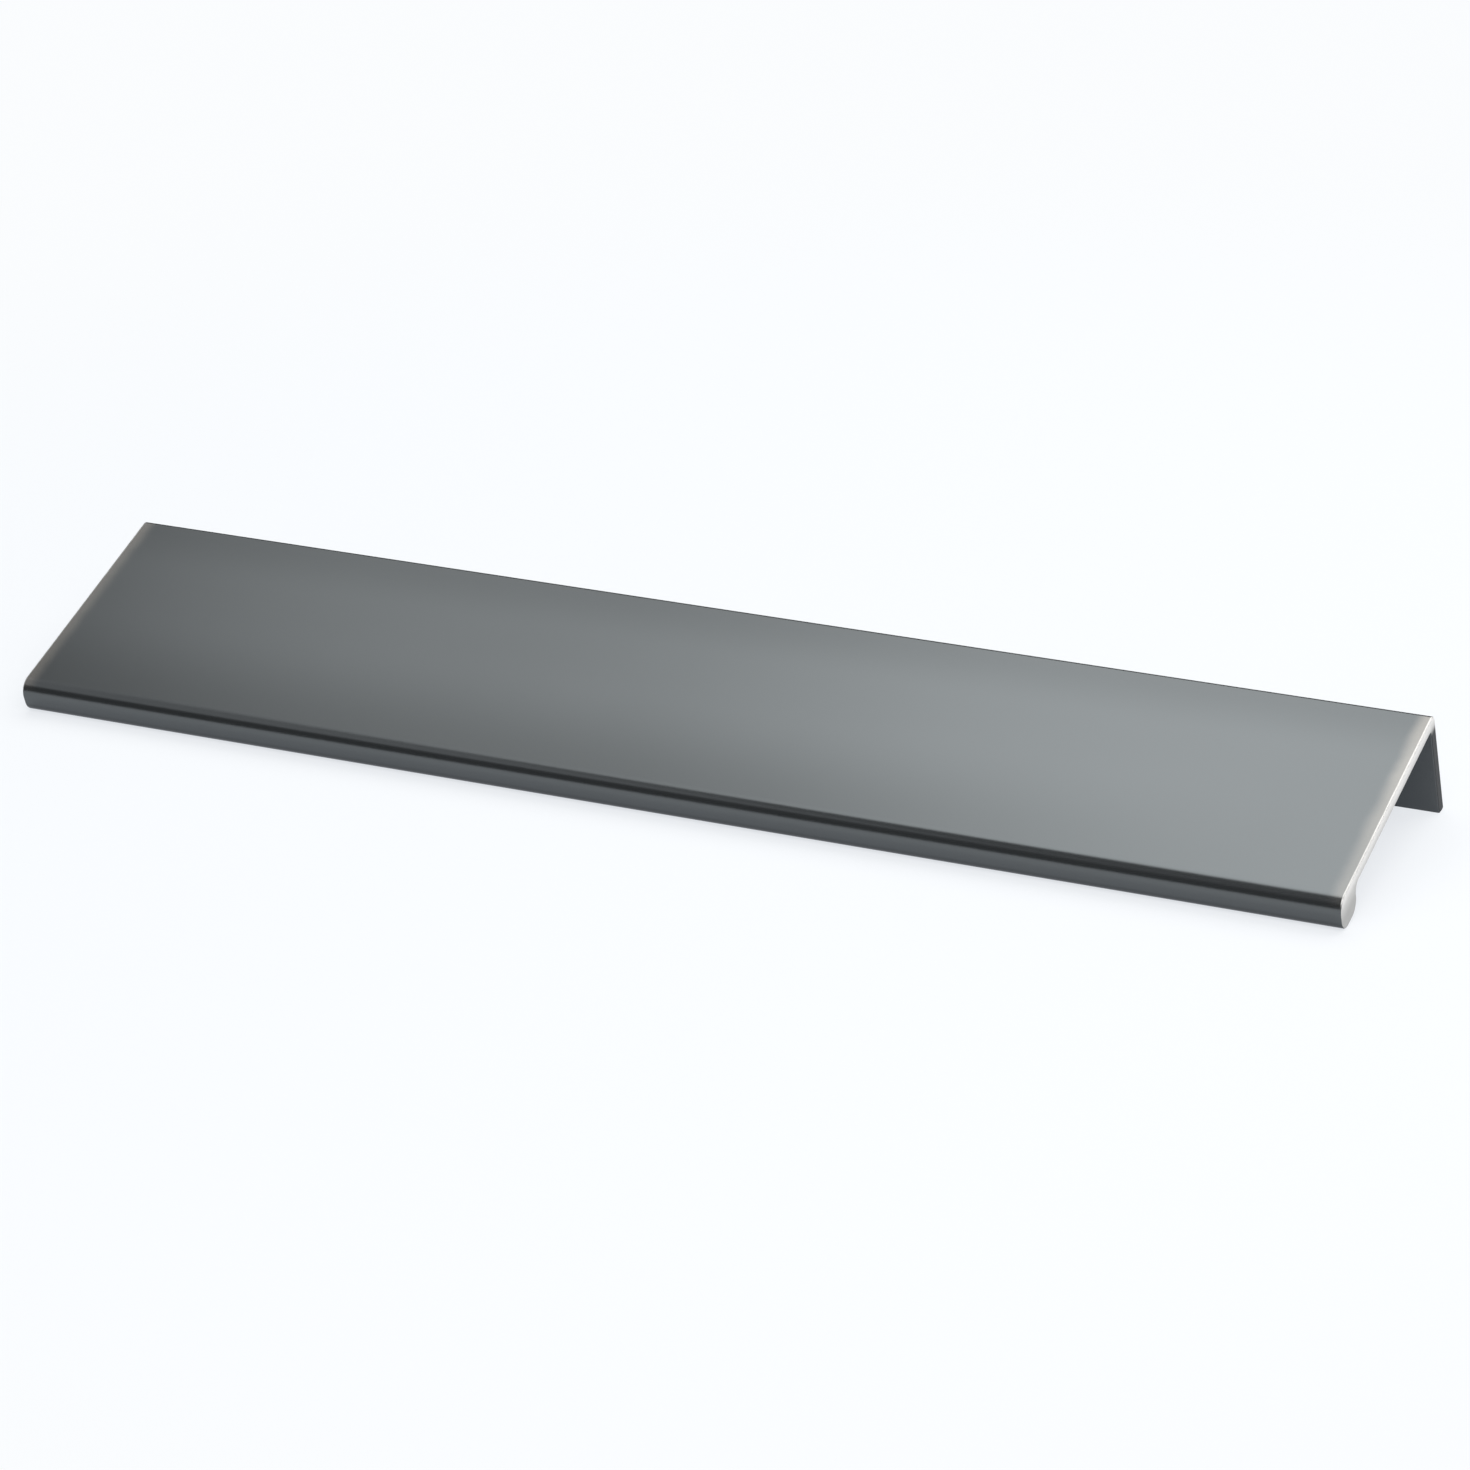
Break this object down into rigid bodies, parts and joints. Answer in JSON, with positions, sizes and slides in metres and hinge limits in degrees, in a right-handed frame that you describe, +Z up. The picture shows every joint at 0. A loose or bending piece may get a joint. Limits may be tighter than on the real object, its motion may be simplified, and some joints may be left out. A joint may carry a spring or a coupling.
{
  "type": "tab pull",
  "caption": "Edge pull for a cabinet door or drawer front: a flat plate with a rounded finger lip in front and a screw leg behind, one metal section.",
  "frame": {"origin": "midway between the two screw holes, on the face of the leg that bears on the back of the door", "axes": "+X along the pull, +Y from the finger lip towards the leg (out of the back of the door), +Z up out of the door's edge"},
  "size_m": [0.2032, 0.04, 0.017],
  "materials": {
    "dark_bronze": "satin dark bronze plating, rubbed through to pale metal at the cut ends"
  },
  "bodies": {
    "root": {"tab_pull": "dark_bronze"}
  },
  "joints": []
}
